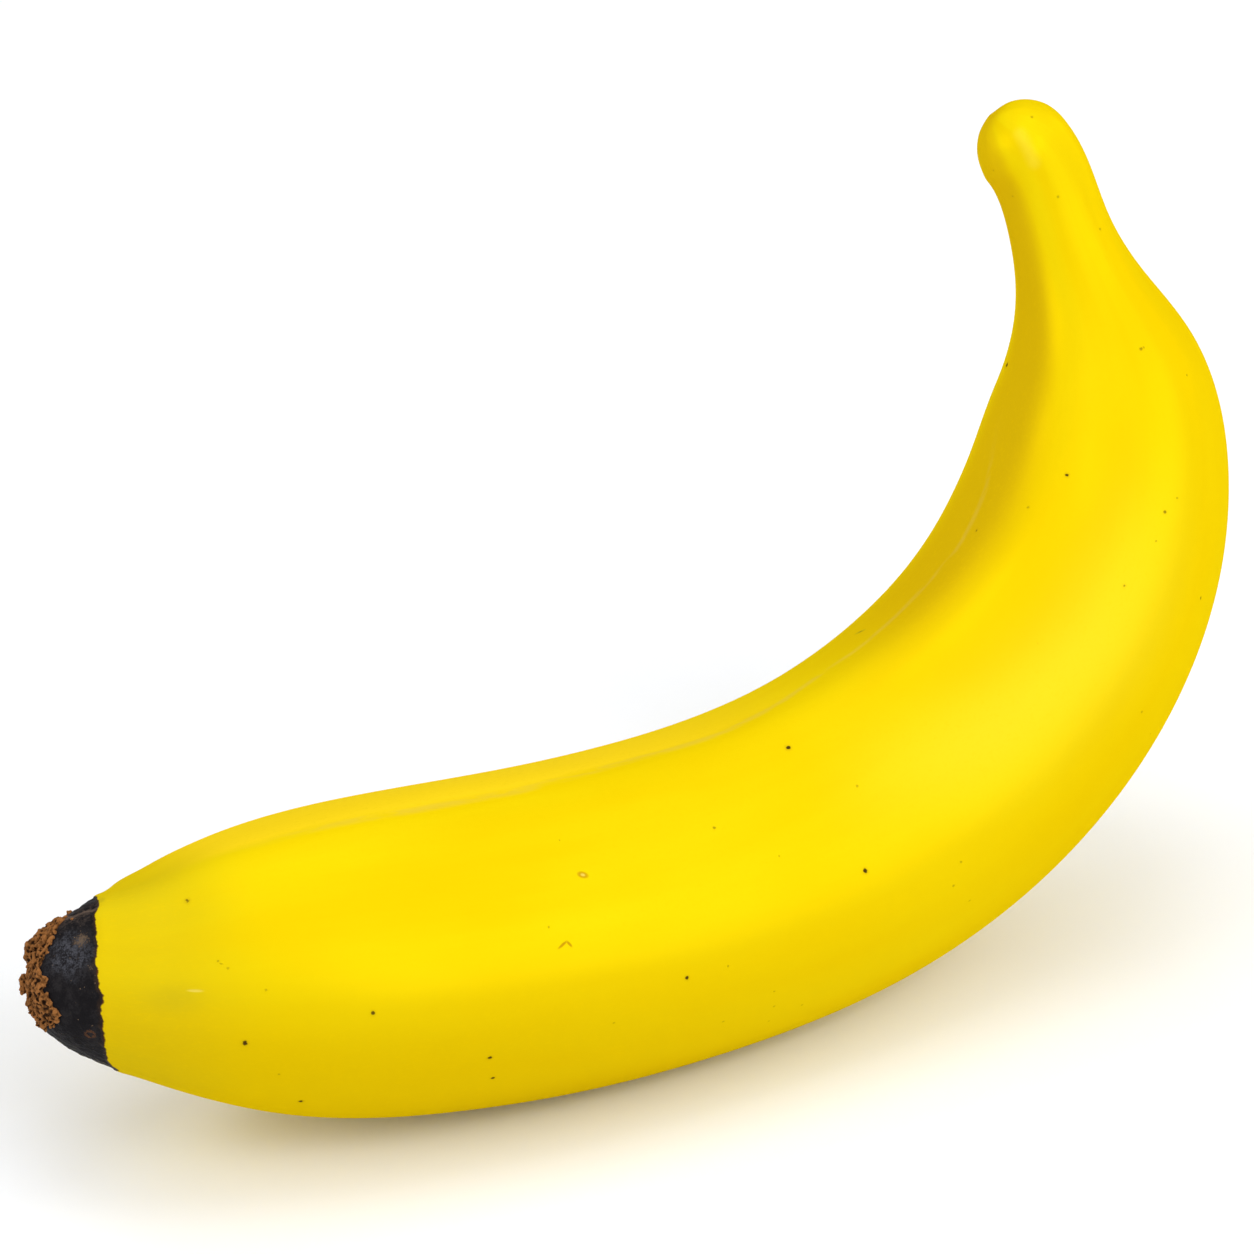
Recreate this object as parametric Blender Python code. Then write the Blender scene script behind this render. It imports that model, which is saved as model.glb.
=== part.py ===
"""Banana lying on its outer back facet, with the dried flower remnant on its blunt end."""
import bmesh
import bpy
import numpy as np

MM = 0.001

# Fruit, measured across the middle of its curve in millimetres: along the fruit, rise above the middle,
# bend to the back, half height, half width, and how strongly the five facets show.
STATIONS = (
    (-77.6, -23.8, 2.5, 7.0, 7.0, 0.3),
    (-74.75, -25.0, 1.5, 9.1, 9.25, 0.5),
    (-67.5, -26.75, 0.5, 12.75, 13.0, 0.7),
    (-55.0, -28.9, 0.0, 17.05, 18.0, 0.9),
    (-33.5, -32.0, 0.0, 20.0, 21.25, 1.0),
    (-2.5, -33.75, 0.0, 20.25, 21.25, 1.0),
    (26.0, -30.25, 0.0, 20.0, 20.0, 1.0),
    (46.5, -21.25, 0.0, 19.5, 18.5, 1.0),
    (60.5, -8.5, 0.0, 18.25, 17.25, 1.0),
    (68.0, 6.5, 0.0, 16.0, 14.75, 1.0),
    (69.5, 17.5, 0.0, 12.75, 12.25, 1.0),
    (68.5, 26.5, 0.0, 8.5, 8.5, 0.8),
    (67.0, 35.5, 0.0, 6.25, 6.25, 0.5),
    (64.75, 44.5, 0.0, 6.0, 6.0, 0.5),
    (60.25, 50.25, 0.0, 6.0, 6.0, 0.4),
)
FACETS_DEG = (-4.0, 70.0, 142.0, 203.0, 280.0)
FACET_POWER = 5.0

# The facets turn round the stem toward its end, and the blossom end is cut slantwise.
STEM_TWIST_DEG = 33.0
STEM_TWIST_FROM = 184.0
STEM_TWIST_TO = 206.0
END_SLANT_DEG = 22.0
END_SLANT_TOWARD_DEG = 100.0
END_SLANT_REACH = 10.0

RING = 40
BODY_ROWS = 44

STEM_DOME = 6.0
DOME_ROWS = 8
TIP_ROUND = 0.8

# The black tip ends in a wavy edge: waves around the fruit as height, count and phase, and one notch.
BLACK_LENGTH = 6.4
BLACK_ROWS = 5
EDGE_REACH = 3.0
EDGE_WAVES = ((0.22, 5, 0.4), (0.16, 9, 2.0))
NOTCH_DEPTH = 0.45
NOTCH_DEG = 40.0
NOTCH_WIDTH_DEG = 8.0

# How the fruit lies: leaning back, on a facet that is a little fuller past its lowest point and pressed flat.
LEAN_DEG = 23.0
REST_CUT = 1.15
REST_BLEND = 0.25
REST_FILL = 1.8
REST_FILL_AT = 99.0
REST_FILL_LENGTH = 17.0
REST_FILL_ANGLE = 210.0
REST_FILL_DEG = 20.0

# Dried flower remnant, a low crust on the blunt end with a nub in the middle and crumbs.
CRUST_GAP = 0.3
CRUST_RADIUS = 7.1
CRUST_RIM_WAVES = ((0.03, 3, 1.0), (0.025, 7, 0.0))
CRUST_RIM = 0.4
CRUST_HEIGHT = 2.2
CRUST_THINNEST = 0.4
NUB_HEIGHT = 0.6
NUB_RADIUS = 1.3
CRUMBS = 34
CRUMB_SEED = 11
CRUMB_HEIGHT = (-0.45, 0.5)
CRUMB_WIDTH = (0.6, 1.2)
CRUST_RING = 36
CRUST_ROWS = 11
BACK_RINGS = (0.5, 0.94)


def natural_spline(x, y, q):
    """Reads the smooth curve through the columns of y, given at x, at the places q."""
    n = len(x)
    h = np.diff(x)
    system = np.eye(n)
    right = np.zeros_like(y)
    for i in range(1, n - 1):
        system[i, i - 1 : i + 2] = (h[i - 1], 2 * (h[i - 1] + h[i]), h[i])
        right[i] = 6 * ((y[i + 1] - y[i]) / h[i] - (y[i] - y[i - 1]) / h[i - 1])
    m = np.linalg.solve(system, right)
    k = np.clip(np.searchsorted(x, q) - 1, 0, n - 2)
    a = (x[k + 1] - q)[:, None]
    b = (q - x[k])[:, None]
    w = h[k][:, None]
    curved = (m[k] * a**3 + m[k + 1] * b**3) / (6 * w)
    return curved + (y[k] / w - m[k] * w / 6) * a + (y[k + 1] / w - m[k + 1] * w / 6) * b


def five_sides(angle):
    """Radius at each angle of the five-sided section with rounded edges."""
    reach = np.maximum(np.cos(angle[:, None] - np.radians(FACETS_DEG)), 0.0)
    return (reach**FACET_POWER).sum(axis=1) ** (-1 / FACET_POWER)


def facets(angle, s):
    """The section's radius as it turns round the stem, with a mean of one."""
    way = np.clip((s - STEM_TWIST_FROM) / (STEM_TWIST_TO - STEM_TWIST_FROM), 0.0, 1.0)
    twist = np.radians(STEM_TWIST_DEG) * way * way * (3 - 2 * way)
    return five_sides(angle - twist) / five_sides(np.linspace(0.0, 2 * np.pi, 360)).mean()


def angle_from(theta, degrees):
    """Signed difference in degrees."""
    return (np.degrees(theta) - degrees + 180.0) % 360.0 - 180.0


table = np.array(STATIONS)
middle = np.stack([table[:, 0], table[:, 2], table[:, 1]], axis=1)
at = np.concatenate([[0.0], np.cumsum(np.linalg.norm(np.diff(middle, axis=0), axis=1))])
LENGTH = at[-1]


def section_frames(s):
    """Middle, direction, inward and front-facing vectors of the sections at the lengths s."""
    centre = natural_spline(at, middle, s)
    step = 0.05
    ahead = natural_spline(at, middle, np.minimum(s + step, LENGTH))
    behind = natural_spline(at, middle, np.maximum(s - step, 0.0))
    along = ahead - behind
    along /= np.linalg.norm(along, axis=1)[:, None]
    toward = np.array([0.0, -1.0, 0.0])
    front = toward - (along @ toward)[:, None] * along
    front /= np.linalg.norm(front, axis=1)[:, None]
    inward = np.cross(front, along)
    return centre, along, inward, front


def lean_back(points):
    """Turns the fruit's plane back about X, as it lies."""
    c = np.cos(np.radians(LEAN_DEG))
    s = np.sin(np.radians(LEAN_DEG))
    x, y, z = points[..., 0], points[..., 1], points[..., 2]
    return np.stack([x, y * c + z * s, z * c - y * s], axis=-1)


def waves(theta, parts):
    """Sum of the sine waves given as height, count and phase."""
    return sum(height * np.sin(count * theta + phase) for height, count, phase in parts)


def black_edge(theta):
    """How far the black tip's edge strays along the fruit, with the notch at the inner front ridge."""
    notch = NOTCH_DEPTH * np.exp(-((angle_from(theta, NOTCH_DEG) / NOTCH_WIDTH_DEG) ** 2))
    return waves(theta, EDGE_WAVES) - notch


def end_slant(up, out):
    """How far the slanting blossom end reaches out at a point of its section."""
    toward = np.radians(END_SLANT_TOWARD_DEG)
    return np.tan(np.radians(END_SLANT_DEG)) * (up * np.cos(toward) + out * np.sin(toward))


def fruit_rows():
    """Length, inset and scale of each row, from the blunt blossom end to the stem."""
    rim_turn = np.radians([0.0, 30.0, 60.0, 90.0])
    dome_turn = np.radians(np.linspace(0.0, 82.0, DOME_ROWS))
    dome_start = LENGTH - STEM_DOME
    rim = TIP_ROUND * (1 - np.cos(rim_turn))
    black = np.linspace(TIP_ROUND, BLACK_LENGTH, BLACK_ROWS)[1:]
    body = np.linspace(BLACK_LENGTH, dome_start, BODY_ROWS)[1:-1]
    dome = dome_start + STEM_DOME * np.sin(dome_turn)
    s = np.concatenate([[0.0], rim, black, body, dome])
    inset = np.zeros(len(s))
    inset[1 : len(rim) + 1] = TIP_ROUND * (1 - np.sin(rim_turn))
    scale = np.ones(len(s))
    scale[0] = 0.5
    scale[-DOME_ROWS:] = np.cos(dome_turn)
    return s, inset, scale


def fruit_points(s, inset, scale):
    """Points of the fruit's rows as it grew, and the poles of its two ends, leaned back as it lies."""
    theta = np.arange(RING) * 2 * np.pi / RING
    near_edge = np.exp(-(((s - BLACK_LENGTH) / EDGE_REACH) ** 2)) * (s > 1.01 * TIP_ROUND)
    at_s = (s[:, None] + near_edge[:, None] * black_edge(theta)[None, :]).ravel()
    centre, along, inward, front = section_frames(at_s)
    half = natural_spline(at, table[:, 3:], at_s)
    angle = np.tile(theta, len(s))
    shape = 1 + half[:, 2] * np.repeat(scale, RING) ** 2 * (facets(angle, at_s) - 1)
    fill = REST_FILL * np.exp(-((angle_from(angle, REST_FILL_ANGLE) / REST_FILL_DEG) ** 2))
    fill = fill * np.exp(-(((at_s - REST_FILL_AT) / REST_FILL_LENGTH) ** 2))
    size = np.repeat(scale, RING) * shape
    less = np.repeat(inset, RING)
    up = ((half[:, 0] - less) * size + fill) * np.cos(angle)
    out = ((half[:, 1] - less) * size + fill) * np.sin(angle)
    slant = end_slant(up, out) * np.clip(1 - at_s / END_SLANT_REACH, 0.0, 1.0) ** 2
    points = centre + up[:, None] * inward + out[:, None] * front - slant[:, None] * along
    ends = natural_spline(at, middle, np.array([0.0, LENGTH]))
    return lean_back(np.concatenate([points, ends]))


def press_flat(z):
    """Flattens the lowest part of the fruit where it lies; the flat spot is at zero."""
    depth = z - (z.min() + REST_CUT)
    blended = (depth + REST_BLEND) ** 2 / (4 * REST_BLEND)
    return np.where(depth <= -REST_BLEND, 0.0, np.where(depth >= REST_BLEND, depth, blended))


def crust_height(radius, turn):
    """Thickness of the dried crust above its flat back: a low dome, a nub and crumbs."""
    inside = radius / CRUST_RADIUS
    height = CRUST_RIM + (CRUST_HEIGHT - CRUST_RIM) * (1 - inside**2.0)
    height = height + NUB_HEIGHT * np.exp(-((radius / NUB_RADIUS) ** 4))
    draw = np.random.default_rng(CRUMB_SEED)
    for _ in range(CRUMBS):
        place = CRUST_RADIUS * np.sqrt(draw.uniform(0.05, 0.95))
        around = draw.uniform(0.0, 2 * np.pi)
        tall = draw.uniform(*CRUMB_HEIGHT)
        wide = draw.uniform(*CRUMB_WIDTH)
        away = np.sqrt(radius**2 + place**2 - 2 * radius * place * np.cos(turn - around))
        height = height + tall * np.exp(-((away / wide) ** 3)) * (1 - 0.5 * inside)
    return np.maximum(height, CRUST_THINNEST)


def crust_points():
    """Points of the dried crust's flat back and its rough outer face, and the poles of both."""
    centre, along, inward, front = (lean_back(v)[0] for v in section_frames(np.array([0.0])))
    turn = np.arange(CRUST_RING) * 2 * np.pi / CRUST_RING
    rim = 1 + waves(turn, CRUST_RIM_WAVES)
    rows = [(CRUST_RADIUS * r, np.zeros(CRUST_RING)) for r in BACK_RINGS]
    for radius in CRUST_RADIUS * np.linspace(1.0, 1 / CRUST_ROWS, CRUST_ROWS):
        rows.append((radius, crust_height(radius, turn)))
    points = []
    for radius, height in rows:
        up = radius * rim * np.cos(turn)
        out = radius * rim * np.sin(turn)
        away = CRUST_GAP + height + end_slant(up, out)
        points.append(centre + up[:, None] * inward + out[:, None] * front - away[:, None] * along)
    back_pole = centre - CRUST_GAP * along
    top_pole = centre - (CRUST_GAP + crust_height(0.0, 0.0)) * along
    return np.concatenate(points + [[back_pole, top_pole]])


def solid(name, points, faces, materials, slots):
    """Makes a closed solid with its materials, given in millimetres."""
    mesh = bpy.data.meshes.new(name)
    mesh.from_pydata([tuple(p * MM) for p in points], [], faces)
    body = bmesh.new()
    body.from_mesh(mesh)
    bmesh.ops.recalc_face_normals(body, faces=body.faces)
    body.to_mesh(mesh)
    body.free()
    for material in materials:
        mesh.materials.append(material)
    for face, slot in zip(mesh.polygons, slots):
        face.material_index = slot
        face.use_smooth = True
    thing = bpy.data.objects.new(name, mesh)
    bpy.context.scene.collection.objects.link(thing)
    return thing


def plain_material(name, colour, roughness):
    material = bpy.data.materials.new(name)
    material.use_nodes = True
    shader = material.node_tree.nodes["Principled BSDF"]
    shader.inputs["Base Color"].default_value = (*colour, 1.0)
    shader.inputs["Roughness"].default_value = roughness
    material.diffuse_color = (*colour, 1.0)
    return material


def ring_faces(rows, ring):
    """Quads between rows of points, closed by a pole before the first row and one after the last."""
    faces = []
    for i in range(rows - 1):
        for j in range(ring):
            k = (j + 1) % ring
            faces.append((i * ring + j, i * ring + k, (i + 1) * ring + k, (i + 1) * ring + j))
    first = rows * ring
    for j in range(ring):
        k = (j + 1) % ring
        faces.append((first, k, j))
        faces.append((first + 1, (rows - 1) * ring + j, (rows - 1) * ring + k))
    return faces


for old in list(bpy.data.objects):
    bpy.data.objects.remove(old)

peel = plain_material("yellow_peel", (0.93, 0.72, 0.015), 0.42)
black = plain_material("black_tip", (0.02, 0.02, 0.022), 0.45)
cork = plain_material("corky_crust", (0.17, 0.09, 0.05), 0.9)

row_s, row_inset, row_scale = fruit_rows()
fruit = fruit_points(row_s, row_inset, row_scale)
crust = crust_points()

# The flat spot goes to zero height, and the middle of the whole to the origin.
crust[:, 2] -= fruit[:, 2].min() + REST_CUT
fruit[:, 2] = press_flat(fruit[:, 2])
both = np.concatenate([fruit, crust])
middle_of_box = (both.min(axis=0) + both.max(axis=0)) / 2 * (1, 1, 0)
fruit -= middle_of_box
crust -= middle_of_box

fruit_faces = ring_faces(len(row_s), RING)
black_rows = int(np.argmin(np.abs(row_s - BLACK_LENGTH)))
yellow_rows = len(row_s) - 1 - black_rows
fruit_slots = [1] * black_rows * RING + [0] * yellow_rows * RING + [1, 0] * RING
solid("fruit", fruit, fruit_faces, [peel, black], fruit_slots)

crust_faces = ring_faces(len(BACK_RINGS) + CRUST_ROWS, CRUST_RING)
solid("dried_flower_end", crust, crust_faces, [cork], [0] * len(crust_faces))

print("box middle moved by", middle_of_box, "curve", LENGTH)
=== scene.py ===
"""A ripe banana lying on the low back side of its outer curve, on a white studio floor."""

import math

import bmesh
import bpy
import numpy as np
from mathutils import Matrix, Vector, noise
from mathutils.bvhtree import BVHTree
from mathutils.kdtree import KDTree


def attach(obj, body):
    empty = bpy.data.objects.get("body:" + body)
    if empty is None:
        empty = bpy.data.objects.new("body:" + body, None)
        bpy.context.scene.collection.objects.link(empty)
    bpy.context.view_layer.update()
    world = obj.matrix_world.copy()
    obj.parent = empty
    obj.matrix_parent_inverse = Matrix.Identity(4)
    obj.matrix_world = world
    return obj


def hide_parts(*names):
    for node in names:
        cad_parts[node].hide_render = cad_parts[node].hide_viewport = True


MM = 0.001

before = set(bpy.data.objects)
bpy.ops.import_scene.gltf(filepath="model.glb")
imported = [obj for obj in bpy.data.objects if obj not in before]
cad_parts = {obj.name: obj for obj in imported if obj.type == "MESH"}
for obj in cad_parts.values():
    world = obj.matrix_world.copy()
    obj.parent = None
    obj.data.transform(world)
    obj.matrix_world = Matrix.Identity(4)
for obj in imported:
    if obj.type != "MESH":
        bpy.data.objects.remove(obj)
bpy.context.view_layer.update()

# Camera
# It stands 0.8 m from the fruit's middle, a little toward the black end and above it, and takes in
# 150 mm of the plane through that middle. The picture's frame is 1254 pixels square.
CAMERA_TURN = math.radians(27.0)
CAMERA_RISE = math.radians(29.0)
CAMERA_DISTANCE = 0.8
CAMERA_AIM = Vector((0.529, 5.704, 49.687)) * MM
SEEN_WIDTH = 150.48 * MM
PICTURE_PIXELS = 1254
FILM_WIDTH = 36.0

to_camera = Vector(
    (
        -math.sin(CAMERA_TURN) * math.cos(CAMERA_RISE),
        -math.cos(CAMERA_TURN) * math.cos(CAMERA_RISE),
        math.sin(CAMERA_RISE),
    )
)
camera_right = Vector((math.cos(CAMERA_TURN), -math.sin(CAMERA_TURN), 0.0))
camera_up = to_camera.cross(camera_right)
eye = CAMERA_AIM + CAMERA_DISTANCE * to_camera

film = bpy.data.cameras.new("studio_camera")
film.sensor_width = FILM_WIDTH
film.lens = FILM_WIDTH * CAMERA_DISTANCE / SEEN_WIDTH
film.clip_start = 0.05
camera = bpy.data.objects.new("studio_camera", film)
camera.location = eye
camera.rotation_euler = to_camera.to_track_quat("Z", "Y").to_euler()
bpy.context.scene.collection.objects.link(camera)
bpy.context.scene.camera = camera


def sight(x, y):
    """Direction in which the camera sees a pixel of the picture."""
    pixel = SEEN_WIDTH / PICTURE_PIXELS
    across = (x - PICTURE_PIXELS / 2) * pixel * camera_right
    down = (y - PICTURE_PIXELS / 2) * pixel * camera_up
    return (across - down - CAMERA_DISTANCE * to_camera).normalized()


# Fruit
# One ripe banana as it grew: a smooth waxy peel in five soft facets, a rounded stem end, and a tip
# where the peel has dried black and leathery. Its own weight presses a small flat spot where it lies.
STATIONS = (  # along, rise, bend to the back, half height, half width, strength of the facets
    (-77.6, -23.8, 2.5, 7.0, 7.0, 0.3),
    (-74.75, -25.0, 1.5, 9.1, 9.25, 0.5),
    (-67.5, -26.75, 0.5, 12.75, 13.0, 0.7),
    (-55.0, -28.9, 0.0, 17.05, 18.0, 0.9),
    (-33.5, -32.0, 0.0, 20.0, 21.25, 1.0),
    (-2.5, -33.75, 0.0, 20.25, 21.25, 1.0),
    (26.0, -30.25, 0.0, 20.0, 20.0, 1.0),
    (46.5, -21.25, 0.0, 19.5, 18.5, 1.0),
    (60.5, -8.5, 0.0, 18.25, 17.25, 1.0),
    (68.0, 6.5, 0.0, 16.0, 14.75, 1.0),
    (69.5, 17.5, 0.0, 12.75, 12.25, 1.0),
    (68.5, 26.5, 0.0, 8.5, 8.5, 0.8),
    (67.0, 35.5, 0.0, 6.25, 6.25, 0.5),
    (64.75, 44.5, 0.0, 6.0, 6.0, 0.5),
    (60.25, 50.25, 0.0, 6.0, 6.0, 0.4),
)
FACETS_DEG = (-4.0, 70.0, 142.0, 203.0, 280.0)
FACET_POWER = 5.0
STEM_TWIST_DEG = 33.0
STEM_TWIST_FROM = 184.0
STEM_TWIST_TO = 206.0
END_SLANT_DEG = 22.0
END_SLANT_TOWARD_DEG = 100.0
END_SLANT_REACH = 10.0
STEM_DOME = 6.0
STEM_STRAIGHT = 4.0
TIP_ROUND = 0.8
LEAN_DEG = 23.0
REST_BLEND = 0.25
REST_FILL = 1.8
REST_FILL_AT = 99.0
REST_FILL_LENGTH = 17.0
REST_FILL_DEG = (210.0, 20.0)
MOVED = np.array((-0.384, -5.654, -49.967))

# The surface is rows of points round the fruit, closest where the black tip and the stem's end are.
RING = 216
RIM_ROWS = 8
BLACK_S = 5.0
BLACK_ROWS = 34
NEAR_S = 14.0
NEAR_ROWS = 40
BODY_ROWS = 298
DOME_ROWS = 26
INNER_ROW_SCALES = (0.3, 0.7)


def natural_spline(x, y, q):
    """Reads the smooth curve through the columns of y, given at x, at the places q."""
    n = len(x)
    h = np.diff(x)
    system = np.eye(n)
    right = np.zeros_like(y)
    for i in range(1, n - 1):
        system[i, i - 1 : i + 2] = (h[i - 1], 2 * (h[i - 1] + h[i]), h[i])
        right[i] = 6 * ((y[i + 1] - y[i]) / h[i] - (y[i] - y[i - 1]) / h[i - 1])
    m = np.linalg.solve(system, right)
    k = np.clip(np.searchsorted(x, q) - 1, 0, n - 2)
    a = (x[k + 1] - q)[:, None]
    b = (q - x[k])[:, None]
    w = h[k][:, None]
    curved = (m[k] * a**3 + m[k + 1] * b**3) / (6 * w)
    return curved + (y[k] / w - m[k] * w / 6) * a + (y[k + 1] / w - m[k + 1] * w / 6) * b


def soft_step(x, low, high):
    """Rises smoothly from 0 at low to 1 at high."""
    t = np.clip((x - low) / (high - low), 0.0, 1.0)
    return t * t * (3 - 2 * t)


def five_sides(angle):
    """Radius at each angle of the five-sided section with rounded edges."""
    reach = np.maximum(np.cos(angle[..., None] - np.radians(FACETS_DEG)), 0.0)
    return (reach**FACET_POWER).sum(axis=-1) ** (-1 / FACET_POWER)


def facets(angle, s):
    """The section's radius as it turns round the stem, with a mean of one."""
    twist = np.radians(STEM_TWIST_DEG) * soft_step(s, STEM_TWIST_FROM, STEM_TWIST_TO)
    return five_sides(angle - twist) / five_sides(np.linspace(0.0, 2 * np.pi, 360)).mean()


def angle_from(theta, degrees):
    """Signed difference in degrees."""
    return (np.degrees(theta) - degrees + 180.0) % 360.0 - 180.0


table = np.array(STATIONS)
middle = np.stack([table[:, 0], table[:, 2], table[:, 1]], axis=1)
at = np.concatenate([[0.0], np.cumsum(np.linalg.norm(np.diff(middle, axis=0), axis=1))])
CURVE = at[-1]


def section_frames(s):
    """Middle, direction, inward and front-facing vectors of the sections at the lengths s."""
    centre = natural_spline(at, middle, s)
    ahead = natural_spline(at, middle, np.minimum(s + 0.05, CURVE))
    behind = natural_spline(at, middle, np.maximum(s - 0.05, 0.0))
    along = ahead - behind
    along /= np.linalg.norm(along, axis=1)[:, None]
    toward = np.array([0.0, -1.0, 0.0])
    front = toward - (along @ toward)[:, None] * along
    front /= np.linalg.norm(front, axis=1)[:, None]
    return centre, along, np.cross(front, along), front


def lean_back(points):
    """Turns the fruit's plane back about X, as it lies."""
    c = math.cos(math.radians(LEAN_DEG))
    s = math.sin(math.radians(LEAN_DEG))
    x, y, z = points[..., 0], points[..., 1], points[..., 2]
    return np.stack([x, y * c + z * s, z * c - y * s], axis=-1)


rim_turn = np.radians(np.linspace(0.0, 90.0, RIM_ROWS))
dome_turn = np.radians(np.linspace(0.0, 87.0, DOME_ROWS))
row_s = np.concatenate(
    [
        [0.0, 0.0],
        TIP_ROUND * (1 - np.cos(rim_turn)),
        np.linspace(TIP_ROUND, BLACK_S, BLACK_ROWS)[1:],
        np.linspace(BLACK_S, NEAR_S, NEAR_ROWS)[1:],
        np.linspace(NEAR_S, CURVE - STEM_DOME, BODY_ROWS)[1:-1],
        CURVE - STEM_DOME + STEM_DOME * np.sin(dome_turn),
    ]
)
ROWS = len(row_s)
FIRST_YELLOW = RIM_ROWS + BLACK_ROWS
row_inset = np.zeros(ROWS)
row_inset[2 : 2 + RIM_ROWS] = TIP_ROUND * (1 - np.sin(rim_turn))
row_scale = np.ones(ROWS)
row_scale[:2] = INNER_ROW_SCALES
row_scale[-DOME_ROWS:] = np.cos(dome_turn)
theta = np.arange(RING) * 2 * np.pi / RING


def grown(length):
    """Points of the rows, in millimetres, with the length along the fruit given for each point."""
    flat = length.ravel()
    bent = np.minimum(flat, CURVE - STEM_STRAIGHT)
    centre, along, inward, front = (v.reshape(ROWS, RING, 3) for v in section_frames(bent))
    centre = centre + (flat - bent).reshape(ROWS, RING, 1) * along
    half = natural_spline(at, table[:, 3:], flat).reshape(ROWS, RING, 3)
    shape = 1 + half[..., 2] * row_scale[:, None] ** 2 * (facets(theta, length) - 1)
    fill = REST_FILL * np.exp(-((angle_from(theta, REST_FILL_DEG[0]) / REST_FILL_DEG[1]) ** 2))
    fill = fill * np.exp(-(((length - REST_FILL_AT) / REST_FILL_LENGTH) ** 2))
    size = row_scale[:, None] * shape
    up = ((half[..., 0] - row_inset[:, None]) * size + fill) * np.cos(theta)
    out = ((half[..., 1] - row_inset[:, None]) * size + fill) * np.sin(theta)
    toward = math.radians(END_SLANT_TOWARD_DEG)
    slant = math.tan(math.radians(END_SLANT_DEG)) * (up * math.cos(toward) + out * math.sin(toward))
    slant = slant * np.clip(1 - length / END_SLANT_REACH, 0.0, 1.0) ** 2
    points = centre + up[..., None] * inward + out[..., None] * front - slant[..., None] * along
    return lean_back(points) - MOVED


plain_s = np.repeat(row_s[:, None], RING, axis=1)
grid = grown(plain_s)
poles = np.array([grid[0].mean(axis=0), grid[-1].mean(axis=0)])


def ring_faces(rows, ring):
    """Quads between rows of points, then triangles to the tip's pole and to the stem's."""
    i, j = np.meshgrid(np.arange(rows - 1), np.arange(ring), indexing="ij")
    k = (j + 1) % ring
    quads = np.stack([i * ring + j, i * ring + k, (i + 1) * ring + k, (i + 1) * ring + j], axis=-1)
    first = rows * ring
    last = (rows - 1) * ring
    caps = [(first, (j + 1) % ring, j) for j in range(ring)]
    caps += [(first + 1, last + j, last + (j + 1) % ring) for j in range(ring)]
    return [tuple(q) for q in quads.reshape(-1, 4).tolist()] + caps


def outward(grid):
    """Normals of a grid of rows that go round, pointing away from its middle line."""
    round_way = np.roll(grid, -1, axis=1) - np.roll(grid, 1, axis=1)
    long_way = np.gradient(grid, axis=0)
    normal = np.cross(round_way, long_way)
    away = grid - grid.mean(axis=1, keepdims=True)
    normal *= np.sign((normal * away).sum(axis=-1).mean())
    return normal / np.maximum(np.linalg.norm(normal, axis=-1, keepdims=True), 1e-9)


fruit_faces = ring_faces(ROWS, RING)
plain_points = np.concatenate([grid.reshape(-1, 3), poles]) * MM
plain_tree = BVHTree.FromPolygons([Vector(p) for p in plain_points], fruit_faces)
flat_grid = grid.reshape(-1, 3)
SEARCH_MM = range(-90, 91, 2)


def seen(x, y):
    """Place on the fruit at a pixel of the picture, in millimetres, and its length and angle there."""
    hit = plain_tree.ray_cast(eye, sight(x, y))[0]
    if hit is None:
        along_ray = [eye + sight(x, y) * (CAMERA_DISTANCE + step * MM) for step in SEARCH_MM]
        hit = min((plain_tree.find_nearest(point) for point in along_ray), key=lambda near: near[3])[0]
    place = np.array(hit) / MM
    away = np.linalg.norm(flat_grid - place, axis=1)
    near = np.argsort(away)[:4]
    share = 1 / (away[near] + 0.001)
    share /= share.sum()
    turn = theta[near % RING]
    angle = math.atan2((share * np.sin(turn)).sum(), (share * np.cos(turn)).sum()) % (2 * math.pi)
    return place, float((share * row_s[near // RING]).sum()), angle


# Pixels at which the picture shows the black tip's edge, the long soft furrow, the crest beside it
# and the thin crease between the inner facet and the front one.
BLACK_EDGE = (
    (94, 899), (99.5, 903), (101, 909), (96, 913), (95, 926), (97, 943), (95, 963), (97, 976),
    (100, 993), (104, 1001), (100, 1008), (102, 1019), (104, 1039), (106, 1054), (109, 1065),
    (114, 1068), (119, 1070),
)
FURROW = (
    (1113, 376), (1113, 480), (1075, 541), (1054, 580), (1025, 620), (975, 662), (892, 687),
    (850, 716),
)
CREST = ((1139, 542), (1100, 633), (1017, 716), (892, 779))
CREASE = (
    (76, 917), (101, 910), (134, 898), (172, 873), (256, 845), (325, 827), (410, 812), (517, 791),
    (639, 758), (716, 735), (780, 703), (821, 674), (876, 634), (925, 585), (956, 549), (986, 487),
    (996, 432),
)
EDGE_BEHIND = ((185.0, 7.0), (230.0, 5.6), (280.0, 5.2), (325.0, 4.6))  # angle, and length there
EDGE_SMOOTH_DEG = 2.5
FRAY = ((0.03, 23, 0.3), (0.03, 41, 1.1), (0.02, 67, 2.0))  # depth, waves round, phase

edge_seen = [seen(x, y) for x, y in BLACK_EDGE]
edge_deg = np.array([math.degrees(t) for _, _, t in edge_seen] + [d for d, _ in EDGE_BEHIND])
edge_mm = np.array([s for _, s, _ in edge_seen] + [mm for _, mm in EDGE_BEHIND])
order = np.argsort(edge_deg)
black_edge = np.interp(np.degrees(theta), edge_deg[order], edge_mm[order], period=360.0)
near_by = np.exp(-((angle_from(theta[:, None], np.degrees(theta)[None, :]) / EDGE_SMOOTH_DEG) ** 2))
black_edge = near_by @ black_edge / near_by.sum(axis=1)
black_edge += sum(depth * np.sin(waves * theta + phase) for depth, waves, phase in FRAY)

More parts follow.
